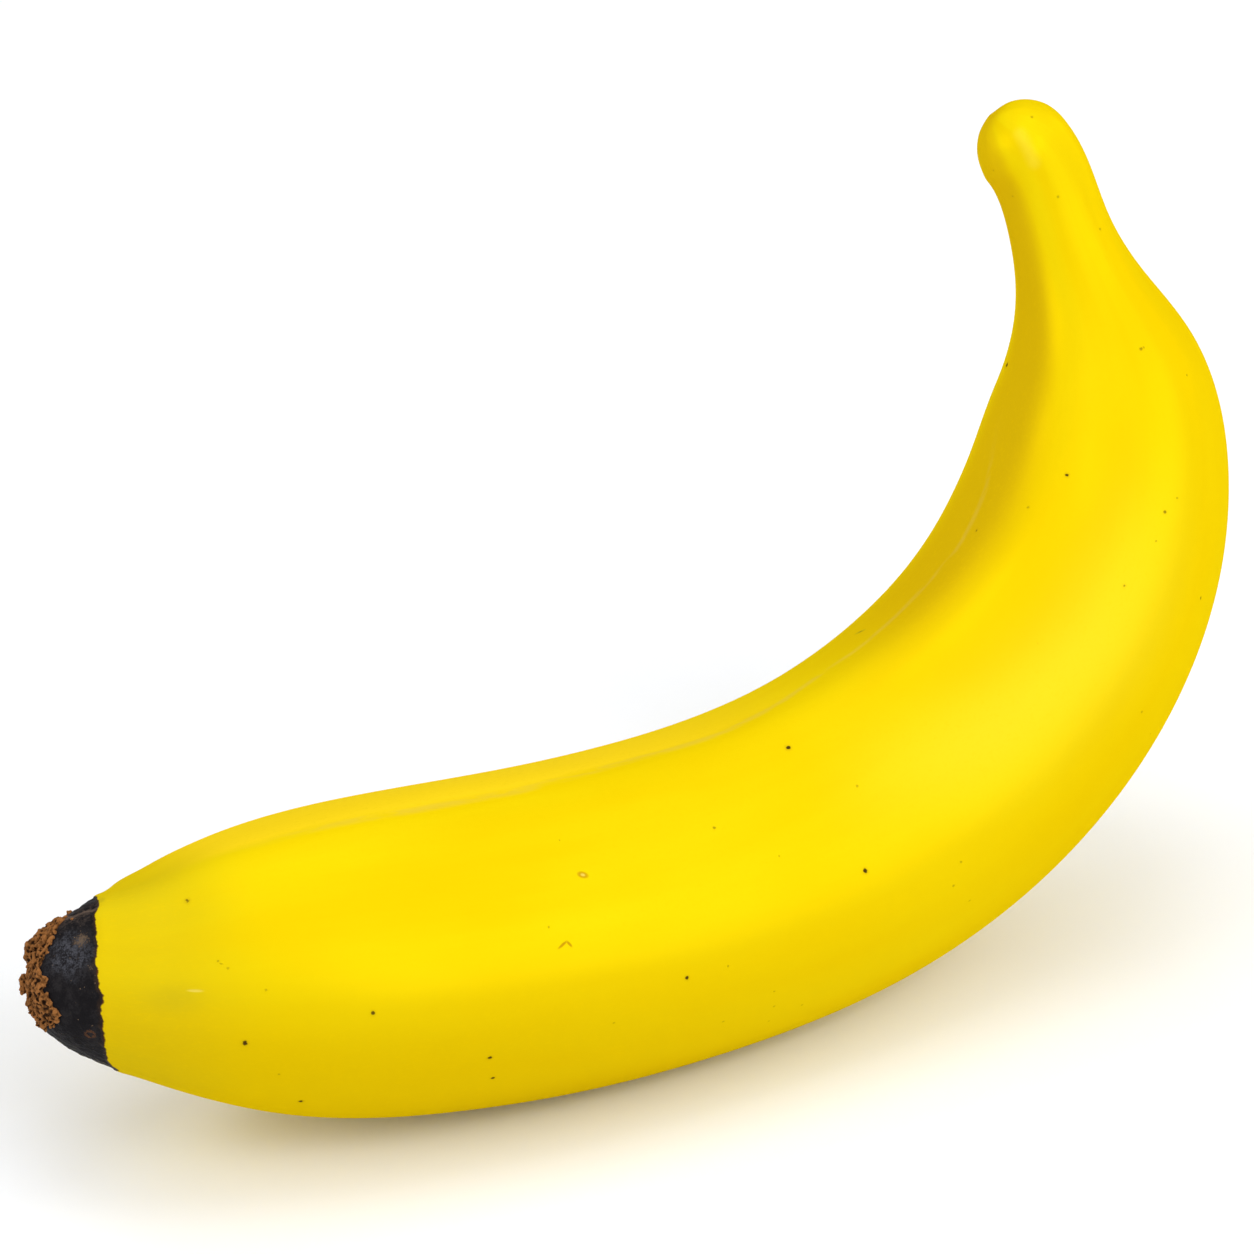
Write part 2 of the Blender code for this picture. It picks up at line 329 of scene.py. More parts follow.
# The rows near the tip are drawn to the black edge, so that it falls on a row.
before = TIP_ROUND + (plain_s - TIP_ROUND) * (black_edge - TIP_ROUND) / (BLACK_S - TIP_ROUND)
after = black_edge + (plain_s - BLACK_S) * (NEAR_S - black_edge) / (NEAR_S - BLACK_S)
length_at = np.where(plain_s <= TIP_ROUND, plain_s, np.where(plain_s < BLACK_S, before, after))
length_at = np.where(plain_s >= NEAR_S, plain_s, length_at)
grid = grown(length_at)
past_black = length_at - black_edge[None, :]
thick = natural_spline(at, table[:, 3:4], row_s)[:, 0]


def beside(path):
    """Distance of each point from a line along the fruit and how far it is within its ends, in mm."""
    places = sorted((s, math.degrees(t)) for _, s, t in (seen(x, y) for x, y in path))
    s_path = np.array([p[0] for p in places])
    deg_path = np.interp(row_s, s_path, np.unwrap([p[1] for p in places], period=360.0))
    off = angle_from(theta[None, :], deg_path[:, None])
    inside = np.minimum(row_s - s_path[0], s_path[-1] - row_s)
    return np.radians(off) * thick[:, None], inside[:, None]


FURROW_DEPTH = 0.4
FURROW_WIDTH = 4.0
CREST_HEIGHT = 0.2
CREST_WIDTH = 4.5
SWELL = 0.16
SWELL_LENGTH = 26.0
SWELLS_ROUND = 1.7
TIP_SINK = 0.14
LIP = 0.06
LIP_AT = 0.5
LIP_WIDTH = 0.6
WRINKLE = 0.1
WRINKLE_SIZE = 1.3
SHOULDER_SEEN = (90, 901)
SHOULDERS = ((0.58, 3.0, 2.6, 36.0), (-0.42, 11.0, 3.2, 40.0))  # height, length along, reach, reach round

furrow_off, furrow_in = beside(FURROW)
crest_off, crest_in = beside(CREST)
crease_off, _ = beside(CREASE)
relief = -FURROW_DEPTH * np.exp(-((furrow_off / FURROW_WIDTH) ** 2)) * soft_step(furrow_in, -4, 14)
relief += CREST_HEIGHT * np.exp(-((crest_off / CREST_WIDTH) ** 2)) * soft_step(crest_in, -4, 14)
for i in range(ROWS):
    for j in range(RING):
        round_by = (SWELLS_ROUND * math.cos(theta[j]), SWELLS_ROUND * math.sin(theta[j]))
        relief[i, j] += SWELL * noise.noise(Vector((row_s[i] / SWELL_LENGTH, *round_by)))
        if past_black[i, j] < 0.6:
            ripple = noise.fractal(Vector(grid[i, j]) / WRINKLE_SIZE, 0.7, 2.1, 4)
            relief[i, j] += WRINKLE * ripple * float(1 - soft_step(past_black[i, j], -0.8, 0.6))
off_top = angle_from(theta, math.degrees(seen(*SHOULDER_SEEN)[2]))
for rise_mm, at_s, reach_mm, reach_deg in SHOULDERS:
    falls_off = (off_top / reach_deg)[None, :] ** 2 + ((length_at - at_s) / reach_mm) ** 2
    relief += rise_mm * np.exp(-falls_off)
relief -= TIP_SINK * (1 - soft_step(past_black, -0.3, 0.0))
relief += LIP * np.exp(-(((past_black - LIP_AT) / LIP_WIDTH) ** 2))
relief *= soft_step(row_scale, 0.1, 0.6)[:, None]
grid = grid + relief[..., None] * outward(grid)

# The fruit's own weight presses the flat spot.
level = grid[..., 2]
blended = (level + REST_BLEND) ** 2 / (4 * REST_BLEND)
grid[..., 2] = np.where(level <= -REST_BLEND, 0.0, np.where(level >= REST_BLEND, level, blended))


def solid(name, points, faces):
    """Makes a smooth-shaded piece from points in millimetres."""
    mesh = bpy.data.meshes.new(name)
    mesh.from_pydata((points * MM).tolist(), [], faces)
    mesh.polygons.foreach_set("use_smooth", [True] * len(faces))
    mesh.update()
    thing = bpy.data.objects.new(name, mesh)
    bpy.context.scene.collection.objects.link(thing)
    body = bmesh.new()
    body.from_mesh(mesh)
    bmesh.ops.recalc_face_normals(body, faces=body.faces)
    body.to_mesh(mesh)
    body.free()
    return thing


def mark(thing, name, values):
    """Stores a number or a vector for each point of a piece, for its finish to read."""
    kind, field = ("FLOAT", "value") if values.ndim == 1 else ("FLOAT_VECTOR", "vector")
    stored = thing.data.attributes.new(name, kind, "POINT")
    stored.data.foreach_set(field, values.astype(np.float32).ravel())


fruit_points = np.concatenate([grid.reshape(-1, 3), poles])
banana = solid("banana_fruit", fruit_points, fruit_faces)

# Specks are small corky dots in the peel: pixel in the picture, and width in millimetres.
SPECKS = (
    (788, 748, 0.62), (865, 871, 0.6), (687, 978, 0.5), (373, 1013, 0.48), (490, 1058, 0.55),
    (493, 1078, 0.5), (187, 900, 0.6), (245, 1043, 0.65), (301, 1101, 0.55), (1007, 365, 0.55),
    (1067, 475, 0.5), (857, 786, 0.34), (714, 828, 0.4), (266, 990, 0.3), (218, 961, 0.3),
    (228, 968, 0.34), (279, 1074, 0.32), (961, 862, 0.34), (954, 886, 0.36), (970, 901, 0.34),
    (1041, 594, 0.38), (1124, 586, 0.42), (1201, 598, 0.42), (1038, 643, 0.3), (1092, 650, 0.26),
    (1017, 703, 0.32), (1142, 712, 0.34), (1151, 734, 0.3), (728, 966, 0.3), (774, 991, 0.34),
    (774, 1006, 0.34), (802, 1005, 0.3), (723, 1021, 0.38), (769, 1021, 0.3), (629, 1050, 0.3),
    (614, 1023, 0.3), (549, 927, 0.3), (560, 840, 0.26), (779, 856, 0.26), (1141, 349, 0.4),
    (1147, 346, 0.26), (1151, 351, 0.26), (1165, 512, 0.42), (1177, 498, 0.3), (1187, 375, 0.3),
    (1028, 507, 0.36), (976, 530, 0.4), (1111, 451, 0.3), (1156, 541, 0.26), (1032, 117, 0.36),
    (994, 170, 0.3), (1058, 197, 0.36), (1104, 203, 0.36), (1100, 229, 0.34), (1013, 196, 0.26),
)
HIDDEN_SPECKS = 120
HIDDEN_WIDTHS = (0.24, 0.3, 0.36, 0.5, 0.62)
HIDDEN_CHANCES = (0.34, 0.3, 0.2, 0.1, 0.06)
SPECK_SEED = 5

speck_draw = np.random.default_rng(SPECK_SEED)
speck_places = [seen(x, y)[0] for x, y, _ in SPECKS]
speck_widths = [width for _, _, width in SPECKS]
normals = outward(grid)
while len(speck_places) < len(SPECKS) + HIDDEN_SPECKS:
    i = int(speck_draw.integers(FIRST_YELLOW, ROWS - 6))
    j = int(speck_draw.integers(0, RING))
    toward_eye = np.array(eye) / MM - grid[i, j]
    width = float(speck_draw.choice(HIDDEN_WIDTHS, p=HIDDEN_CHANCES))
    if normals[i, j] @ toward_eye < 0.02 * np.linalg.norm(toward_eye):
        speck_places.append(grid[i, j])
        speck_widths.append(width)
tree = KDTree(len(speck_places))
for k, place in enumerate(speck_places):
    tree.insert(place, k)
tree.balance()
found = [tree.find(point) for point in fruit_points]
mark(banana, "to_speck", np.array([tuple(place) for place, _, _ in found]) - fruit_points)
mark(banana, "speck_near", np.array([away for _, _, away in found]))
mark(banana, "speck_width", np.array([speck_widths[k] for _, k, _ in found]))
mark(banana, "place", fruit_points)

# Pixels at which the picture shows the shaded side of the stem's end, and the soft gleam beside it; the
# peel paints shade and a highlight along them.
STEM_SHADE = ((988, 112), (981, 138), (990, 165), (1002, 195))
STEM_GLEAM = ((1020, 134), (1027, 148), (1034, 163))


def from_line(path):
    """Distance in millimetres of each point from a line through places of the picture."""
    places = np.array([seen(x, y)[0] for x, y in path])
    nearest = np.full(len(fruit_points), np.inf)
    for start, end in zip(places, places[1:]):
        leg = end - start
        share = np.clip((fruit_points - start) @ leg / (leg @ leg), 0.0, 1.0)
        nearest = np.minimum(nearest, np.linalg.norm(fruit_points - start - share[:, None] * leg, axis=1))
    return nearest


mark(banana, "from_shade", from_line(STEM_SHADE))
mark(banana, "from_gleam", from_line(STEM_GLEAM))

# Noise in the peel is laid out straight: the length along the fruit, and a circle round it.
LAID_RADIUS = 20.0
FURROW_SHADE_WIDTH = 4.5
CREST_HIGHLIGHT_WIDTH = 6.5


def with_poles(rows, tip_value, stem_value):
    """Values of the rows' points, then those of the two poles."""
    return np.concatenate([rows.ravel(), [tip_value, stem_value]])


def painted_light_line(off, within, wide):
    """Share of a painted shade or painted highlight that follows a line along the fruit and fades past
    its ends.
    """
    return np.exp(-((off / wide) ** 2)) * soft_step(within, -16, 18)


laid_grid = np.stack(
    [
        length_at,
        np.repeat(LAID_RADIUS * np.cos(theta)[None, :], ROWS, axis=0),
        np.repeat(LAID_RADIUS * np.sin(theta)[None, :], ROWS, axis=0),
    ],
    axis=-1,
).reshape(-1, 3)
mark(banana, "laid", np.concatenate([laid_grid, [[0.0, 0.0, 0.0], [CURVE, 0.0, 0.0]]]))
mark(banana, "past_black", with_poles(past_black, -6.0, 200.0))
mark(banana, "off_crease", with_poles(crease_off, 0.0, 9.0))
# The furrow's share carries painted shade and the crest's share a painted highlight.
mark(banana, "furrow", with_poles(painted_light_line(furrow_off, furrow_in, FURROW_SHADE_WIDTH), 0.0, 0.0))
mark(banana, "crest", with_poles(painted_light_line(crest_off, crest_in, CREST_HIGHLIGHT_WIDTH), 0.0, 0.0))


class Tone:
    """A value or colour inside a finish. Arithmetic on values adds Math nodes."""

    def __init__(self, finish, socket):
        self.finish = finish
        self.socket = socket

    def maths(self, operation, *inputs):
        return self.finish.node("ShaderNodeMath", {"operation": operation}, dict(enumerate(inputs)))

    def __add__(self, other):
        return self.maths("ADD", self, other)

    def __sub__(self, other):
        return self.maths("SUBTRACT", self, other)

    def __rsub__(self, other):
        return self.maths("SUBTRACT", other, self)

    def __mul__(self, other):
        return self.maths("MULTIPLY", self, other)

    def __truediv__(self, other):
        return self.maths("DIVIDE", self, other)

    def __pow__(self, other):
        return self.maths("POWER", self, other)

    __radd__ = __add__
    __rmul__ = __mul__

    def least(self, other):
        return self.maths("MINIMUM", self, other)

    def size(self):
        return self.maths("ABSOLUTE", self)

    def rise(self, low, high):
        """Goes smoothly from 0 at low to 1 at high."""
        settings = {"interpolation_type": "SMOOTHSTEP"}
        down = low > high
        ends = {"Value": self, "From Min": min(low, high), "From Max": max(low, high)}
        step = self.finish.node("ShaderNodeMapRange", settings, ends)
        return 1 - step if down else step


class Finish:
    """A material with its nodes."""

    def __init__(self, name):
        self.material = bpy.data.materials.new(name)
        self.material.use_nodes = True
        self.tree = self.material.node_tree
        self.shader = self.tree.nodes["Principled BSDF"]

    def node(self, kind, settings, inputs, output=0):
        made = self.tree.nodes.new(kind)
        for name, value in settings.items():
            setattr(made, name, value)
        for key, value in inputs.items():
            self.feed(made.inputs[key], value)
        return Tone(self, made.outputs[output])

    def feed(self, socket, value):
        if isinstance(value, Tone):
            self.tree.links.new(value.socket, socket)
        elif isinstance(value, tuple) and len(socket.default_value) > len(value):
            socket.default_value = (*value, 1.0)
        else:
            socket.default_value = value

    def attribute(self, name, output="Fac"):
        return self.node("ShaderNodeAttribute", {"attribute_name": name}, {}, output)

    def parts(self, vector):
        split = self.node("ShaderNodeSeparateXYZ", {}, {0: vector})
        return [Tone(self, split.socket.node.outputs[k]) for k in range(3)]

    def scaled(self, vector, x, y, z):
        return self.node("ShaderNodeVectorMath", {"operation": "MULTIPLY"}, {0: vector, 1: (x, y, z)})

    def clouds(self, vector, scale, detail=3.0, rough=0.5):
        """Noise around a half."""
        sockets = {"Vector": vector, "Scale": scale, "Detail": detail, "Roughness": rough}
        return self.node("ShaderNodeTexNoise", {}, sockets)

    def mix(self, first, second, share):
        """Goes from the first colour to the second as the share goes from 0 to 1."""
        return self.node("ShaderNodeMix", {"data_type": "RGBA"}, {0: share, 6: first, 7: second}, 2)

    def bump(self, height):
        """Height is in millimetres."""
        return self.node("ShaderNodeBump", {}, {"Height": height, "Distance": MM, "Strength": 1.0})

    def set(self, **sockets):
        """Feeds the shader's sockets, named with underscores for spaces."""
        for name, value in sockets.items():
            self.feed(self.shader.inputs[name.replace("_", " ")], value)


# The peel: tones along the fruit first, painted shade and painted highlights among them, then specks,
# scars and the brown edge of the black tip.
BRIGHT_YELLOW = (0.79, 0.595, 0.0025)
DEEP_YELLOW = (0.77, 0.535, 0.0008)
FURROW_SHADE_YELLOW = (0.77, 0.50, 0.0008)
CREST_HIGHLIGHT_YELLOW = (0.80, 0.60, 0.016)
TOP_FACET_LIGHT_YELLOW = (0.90, 0.635, 0.011)
INNER_DULL_AND_SHADE_YELLOW = (0.655, 0.43, 0.003)
UNDERSIDE_SHADE_YELLOW = (0.68, 0.455, 0.001)
OLIVE = (0.50, 0.38, 0.01)
CREASE_HIGHLIGHT_GREY = (0.66, 0.48, 0.07)
GLEAM_HIGHLIGHT_YELLOW = (0.86, 0.72, 0.06)
SCAR_ORANGE = (0.42, 0.16, 0.004)
SCAR_PALE = (0.80, 0.64, 0.12)
SPECK_BROWN = (0.05, 0.02, 0.005)
SPECK_RIM = (0.38, 0.20, 0.006)
EDGE_BROWN = (0.09, 0.03, 0.01)

# Marks in the peel, each between two pixels of the picture, with its width in millimetres.
OLIVE_PATCH = ((135, 1002), (208, 996), 4.0)
TOP_SMUDGE = ((98, 905), (108, 902), 1.2)
SCAR = ((578, 874), (589, 876), 0.8)
CROOK_LEFT = ((559, 948), (567, 941), 0.28)
CROOK_RIGHT = ((566, 941), (572, 947), 0.28)
SCRATCH = ((187, 990), (203, 991), 0.32)
WART = ((855, 634), (865, 630), 1.0)

peel = Finish("ripe_peel")
laid = peel.attribute("laid", "Vector")
length, by_cos, by_sin = peel.parts(laid)
streaks = peel.clouds(peel.scaled(laid, 0.018, 0.14, 0.14), 1.0, 4.0, 0.55)
clouds = peel.clouds(peel.scaled(laid, 0.03, 0.05, 0.05), 1.0, 2.0)
grain = peel.clouds(peel.scaled(laid, 1.6, 2.2, 2.2), 1.0, 3.0)


def facing(degrees):
    """Cosine of the angle round the fruit from the given one."""
    turn = math.radians(degrees)
    return (by_cos * math.cos(turn) + by_sin * math.sin(turn)) * (1 / LAID_RADIUS)


def streak(start, end, wide):
    """Distance from an oval mark between two pixels, 1 at its edge, with its width in millimetres."""
    _, s_start, turn_start = seen(*start)
    _, s_end, turn_end = seen(*end)
    s = (s_start + s_end) / 2
    turn = (turn_start + turn_end) / 2
    radius = float(np.interp(s, row_s[2:], thick[2:]))
    rise = math.atan2((turn_end - turn_start) * radius, s_end - s_start)
    long = math.hypot((turn_end - turn_start) * radius, s_end - s_start) / 2
    along = length - s
    across = facing(math.degrees(turn) + 90.0) * radius
    c = math.cos(rise)
    n = math.sin(rise)
    lengthwise = (along * c + across * n) / long
    crosswise = (across * c - along * n) / (wide / 2)
    return (lengthwise**2.0 + crosswise**2.0) ** 0.5


colour = peel.mix(DEEP_YELLOW, BRIGHT_YELLOW, (streaks * 0.6 + clouds * 0.6).rise(0.35, 0.8))
# Painted shade: the long furrow is a deeper yellow.
colour = peel.mix(colour, FURROW_SHADE_YELLOW, peel.attribute("furrow") * 0.6)
# Painted highlight: the crest beside the furrow is a paler yellow.
colour = peel.mix(colour, CREST_HIGHLIGHT_YELLOW, peel.attribute("crest") * 0.75)
off_crease = peel.attribute("off_crease")
# Painted light: the top facet toward the black end is made paler and brighter.
lit_top_facet = off_crease.rise(0.6, -1.6) * facing(-4.0).rise(0.6, 0.82)
colour = peel.mix(colour, TOP_FACET_LIGHT_YELLOW, lit_top_facet * length.rise(115.0, 70.0) * length.rise(8.0, 20.0))
# The inner side toward the stem is partly a duller yellow and partly painted shade.
shaded_inner_side = facing(2.0).rise(0.78, 0.97)
off_pole = length.rise(208.0, 200.0)
colour = peel.mix(colour, INNER_DULL_AND_SHADE_YELLOW, shaded_inner_side * length.rise(98.0, 135.0) * off_pole)
# Painted shade: the lower side is a darker, more orange yellow, most toward the black end.
underside_shade_share = facing(140.0).rise(0.5, 0.98) * (0.35 + length.rise(95.0, 45.0) * 0.38)
colour = peel.mix(colour, UNDERSIDE_SHADE_YELLOW, underside_shade_share * off_pole)
colour = peel.mix(colour, OLIVE, length.rise(22.0, 6.0) * (clouds.rise(0.45, 0.8) * 0.3 + 0.32))
colour = peel.mix(colour, OLIVE, streak(*OLIVE_PATCH).rise(1.3, 0.1) * 0.3)
colour = peel.mix(colour, OLIVE, streak(*TOP_SMUDGE).rise(1.2, 0.3) * 0.7)
thin = peel.clouds(peel.scaled(laid, 0.2, 0.9, 0.9), 1.0, 3.0)
# Painted highlight: a thin pale line along the crease between the inner facet and the front one.
crease_highlight_share = off_crease.size().rise(1.0, 0.1) * length.rise(172.0, 145.0) * thin.rise(0.3, 0.6)
colour = peel.mix(colour, CREASE_HIGHLIGHT_GREY, crease_highlight_share * length.rise(14.0, 40.0) * 0.32)
# Painted shade along the shaded side of the stem's end.
colour = peel.mix(colour, INNER_DULL_AND_SHADE_YELLOW, peel.attribute("from_shade").rise(3.4, 1.2) * 0.85)
# Painted highlight: a soft pale gleam on the stem's end.
colour = peel.mix(colour, GLEAM_HIGHLIGHT_YELLOW, peel.attribute("from_gleam").rise(1.3, 0.0) * 0.26)
colour = peel.mix(colour, DEEP_YELLOW, grain.rise(0.5, 0.75) * 0.25)

to_speck = peel.attribute("to_speck", "Vector")
wobble = peel.clouds(peel.scaled(laid, 3.0, 3.0, 3.0), 1.0, 2.0)
speck_away = peel.node("ShaderNodeVectorMath", {"operation": "LENGTH"}, {0: to_speck}, 1)
speck_reach = speck_away / (peel.attribute("speck_width") * 0.5) + (wobble - 0.5) * 1.2
speck_near = (peel.attribute("speck_near") / peel.attribute("speck_width")).rise(1.5, 1.1)
speck_dark = peel.attribute("speck_width").rise(0.34, 0.52)
speck = speck_reach.rise(1.1, 0.65) * speck_near
speck_halo = speck_reach.rise(2.3, 0.8) * speck_near
colour = peel.mix(colour, SPECK_RIM, speck_halo * (0.08 + speck_dark * 0.16))
colour = peel.mix(colour, SPECK_BROWN, speck * (0.26 + speck_dark * 0.7))

# Healed marks: two orange-brown scars, a pale scratch near the tip and a wart on the inner side.
scar = streak(*SCAR)
colour = peel.mix(colour, SCAR_ORANGE, scar.rise(1.3, 0.7) * 0.6)
colour = peel.mix(colour, SCAR_PALE, scar.rise(0.6, 0.2) * 0.7)
crook = streak(*CROOK_LEFT).least(streak(*CROOK_RIGHT))
colour = peel.mix(colour, SCAR_ORANGE, crook.rise(1.5, 0.5) * 0.7)
scratch = streak(*SCRATCH)
colour = peel.mix(colour, SCAR_PALE, scratch.rise(1.4, 0.4) * 0.6)
wart = streak(*WART)
colour = peel.mix(colour, OLIVE, wart.rise(1.3, 0.6) * 0.7)
colour = peel.mix(colour, SPECK_BROWN, wart.rise(0.5, 0.2) * 0.4)

past_edge = peel.attribute("past_black")
fray = peel.clouds(peel.scaled(laid, 1.4, 1.0, 1.0), 1.0, 3.0)
colour = peel.mix(colour, EDGE_BROWN, (past_edge + (fray - 0.5) * 0.35).rise(0.12, 0.0))

pores = peel.clouds(peel.scaled(laid, 1.2, 2.4, 2.4), 1.0, 3.0, 0.6)
peel.set(
    Base_Color=colour,
    Roughness=0.36 + (pores - 0.5) * 0.12 + speck * 0.3,
    Normal=peel.bump(pores * 0.012 + streaks * 0.05 - speck * 0.06 - crook.rise(1.5, 0.5) * 0.05),
)
peel.shader.inputs["Specular IOR Level"].default_value = 0.0
peel.shader.inputs["Metallic"].default_value = 0.07
peel.shader.inputs["Specular Tint"].default_value = (1.0, 0.75, 0.05, 1.0)

# The black tip is the same peel, dried to a leathery skin with fine dimples and cracks.
BLACK = (0.010, 0.009, 0.010)
BLACK_PALE = (0.020, 0.018, 0.019)
BLACK_HIGHLIGHT_GREY = (0.085, 0.088, 0.105)
BLACK_BROWN = (0.05, 0.028, 0.016)
RIDGE_BROWN_AND_HIGHLIGHT = (0.13, 0.09, 0.068)
FLECK_TAN = (0.30, 0.20, 0.12)
SCAR_BROWN = (0.15, 0.06, 0.022)
BLACK_HIGHLIGHT_SEEN = (70, 954)
FLECKS = ((81, 940, 0.9), (91, 967, 0.4))  # pixel, and reach in millimetres
RING_SEEN = (90, 1035)
RING_RADIUS = 0.55

black = Finish("dried_black_skin")
skin_place = black.attribute("place", "Vector")
folds = black.clouds(skin_place, 0.55, 3.0, 0.5)
skin = black.clouds(skin_place, 1.7, 4.0, 0.6)
dimples = black.clouds(skin_place, 5.0, 2.0, 0.6)
flecks = black.clouds(skin_place, 3.1, 1.0)
uneven = skin + dimples - 1.0


def from_pixel(x, y):
    """Distance in millimetres from the place on the skin that the picture shows at a pixel."""
    centre = tuple(seen(x, y)[0])
    return black.node("ShaderNodeVectorMath", {"operation": "DISTANCE"}, {0: skin_place, 1: centre}, 1)


mottle = (folds * 0.5 + skin * 0.3 + dimples * 0.35).rise(0.52, 0.72)
black_colour = black.mix(BLACK, BLACK_PALE, mottle)
# Painted highlight: a bluish-grey sheen in mottled patches around one place on the black skin.
highlight_near = (from_pixel(*BLACK_HIGHLIGHT_SEEN) + (folds - 0.5) * 4.0).rise(4.0, 0.8)
painted_highlight = highlight_near * (skin * 0.6 + dimples * 0.5).rise(0.42, 0.72)
black_colour = black.mix(black_colour, BLACK_HIGHLIGHT_GREY, painted_highlight * 0.75)
for x, y, reach in FLECKS:
    fleck = (from_pixel(x, y) + uneven * 2.6 * reach).rise(reach, reach * 0.2)
    black_colour = black.mix(black_colour, FLECK_TAN, fleck * 0.32)
ring = (from_pixel(*RING_SEEN) - RING_RADIUS + uneven * 0.8).size().rise(0.2, 0.04)
black_colour = black.mix(black_colour, SCAR_BROWN, ring * 0.5)
# Along the ridge a lighter brown line and wrinkles, partly the skin's own brown and partly painted
# highlight.
ridge_away = (black.attribute("off_crease") + (skin - 0.5) * 0.9).size()
ridge_line = ridge_away.rise(0.42, 0.1)
wrinkles = ridge_away.rise(3.0, 0.4) * (skin * 0.6 + dimples * 0.4).rise(0.45, 0.62)
black_colour = black.mix(black_colour, RIDGE_BROWN_AND_HIGHLIGHT, ridge_line * 0.6 + wrinkles * 0.3)
brown_edge = (black.attribute("past_black") + (skin - 0.5) * 0.8).rise(-0.35, 0.0)
black_colour = black.mix(black_colour, BLACK_BROWN, brown_edge * 0.45)
black_colour = black.mix(black_colour, FLECK_TAN, flecks.rise(0.74, 0.8) * 0.5)
black.set(
    Base_Color=black_colour,
    Roughness=0.42 + (skin - 0.5) * 0.4 + (dimples - 0.5) * 0.3,
    Normal=black.bump(folds * 0.2 + skin * 0.1 + dimples * 0.05 + ridge_line * 0.03),
)
black.shader.inputs["Specular IOR Level"].default_value = 0.015

banana.data.materials.append(peel.material)
banana.data.materials.append(black.material)
slots = np.zeros(len(fruit_faces), np.int32)
slots[: FIRST_YELLOW * RING] = 1
slots[-2 * RING : -RING] = 1
banana.data.polygons.foreach_set("material_index", slots)
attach(banana, "root")
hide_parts("fruit")

# Dried flower end
# The withered remnant of the flower: a low brown crust of cork-like crumbs with a nub in its middle,
# grown onto the black tip and standing a little over its edge.
CRUST_RADIUS = 7.5
CRUST_RIM = -0.9
CRUST_HEIGHT = 2.8
CRUST_POWER = 2.3
CORE_RADII = (7.1, 6.6, 6.0, 5.0, 4.0, 3.0, 2.0, 1.0)
CORE_SIDES = 40
CORE_BELOW = 0.35
CRUMBS = 330
CRUMB_INSET = 0.35
CRUMB_SEED = 4
SMALL_FROM = 6.2
SMALL_SCALE = 0.7
CRUST_EDGE = (  # pixels at which the picture shows the crust's ragged edge
    (66, 913), (61, 916), (56, 920), (51, 926), (48, 934), (44, 943), (40, 952), (37, 961), (38, 972),
    (40, 981), (41, 989), (42, 997), (45, 1003), (50, 1008), (54, 1013), (55, 1016), (50, 1014),
    (45, 1009), (41, 1001), (49, 1022), (43, 1017), (38, 1008), (36, 975), (35, 984), (35, 992),
    (38, 996), (36, 1001), (40, 1012), (38, 1015), (44, 1024),
)
EDGE_CRUMBS = 8
EDGE_STRAY = 2.6
CLUMPS = (  # pixel, length, width, thickness and turn of the large crumbs
    (24.5, 985, 0.7, 1.35, 0.5, 0.0), (24.0, 979, 0.6, 0.7, 0.5, 0.0), (39, 982, 0.9, 0.5, 0.5, 0.4),
    (31, 962, 0.8, 0.5, 0.5, 0.9), (38, 996, 0.8, 0.6, 0.6, 0.2), (38, 940, 1.0, 0.9, 0.8, 0.3),
    (44, 934, 1.0, 0.9, 0.8, 0.0), (32, 947, 0.9, 0.9, 0.8, 0.5), (51, 928, 0.9, 0.8, 0.7, 0.2),
    (29, 955, 0.8, 0.8, 0.7, 0.1), (58, 921, 0.7, 0.6, 0.6, 0.3),
)

tip = [lean_back(v)[0] for v in section_frames(np.array([0.0]))]
tip_centre, tip_along, tip_inward, tip_front = tip
tip_centre = tip_centre - MOVED
slant = math.radians(END_SLANT_DEG)
toward = math.radians(END_SLANT_TOWARD_DEG)
slant_way = tip_inward * math.cos(toward) + tip_front * math.sin(toward)
crust_axes = np.array(
    [
        slant_way * math.cos(slant) - tip_along * math.sin(slant),
        np.cross(tip_along, slant_way),
        -tip_along * math.cos(slant) - slant_way * math.sin(slant),
    ]
)


def crust_place(place):
    """A place in millimetres, as read along the crust's own directions."""
    return tuple(crust_axes @ (place - tip_centre))


def dome(radius):
    """Height of the crust's outer face above the end of the fruit."""
    return CRUST_RIM + (CRUST_HEIGHT - CRUST_RIM) * (1 - (radius / CRUST_RADIUS) ** CRUST_POWER)


def core_ring(radius, height):
    """One ring of the plain core that carries the crumbs."""
    turns = np.arange(CORE_SIDES) * 2 * math.pi / CORE_SIDES
    return [clump.verts.new((radius * math.cos(a), radius * math.sin(a), height)) for a in turns]


clump = bmesh.new()
core_rings = [core_ring(radius, dome(radius) - CORE_BELOW) for radius in CORE_RADII]
core_rings.insert(0, [clump.verts.new((v.co.x, v.co.y, v.co.z - 0.5)) for v in core_rings[0]])
core_rings.insert(0, [clump.verts.new((v.co.x * 0.85, v.co.y * 0.85, 0.15)) for v in core_rings[0]])
for lower, upper in zip(core_rings, core_rings[1:]):
    for k in range(CORE_SIDES):
        ahead = (k + 1) % CORE_SIDES
        clump.faces.new((lower[k], lower[ahead], upper[ahead], upper[k]))
clump.faces.new(core_rings[0][::-1])
clump.faces.new(core_rings[-1])
crumb_draw = np.random.default_rng(CRUMB_SEED)
noise.seed_set(CRUMB_SEED)


def tumbled(axis):
    """A random turn of a crumb: a tilt about the given axis, then a turn about Z."""
    spin = Matrix.Rotation(crumb_draw.uniform(0, math.pi), 3, "Z")
    return spin @ Matrix.Rotation(crumb_draw.uniform(-0.9, 0.9), 3, axis)


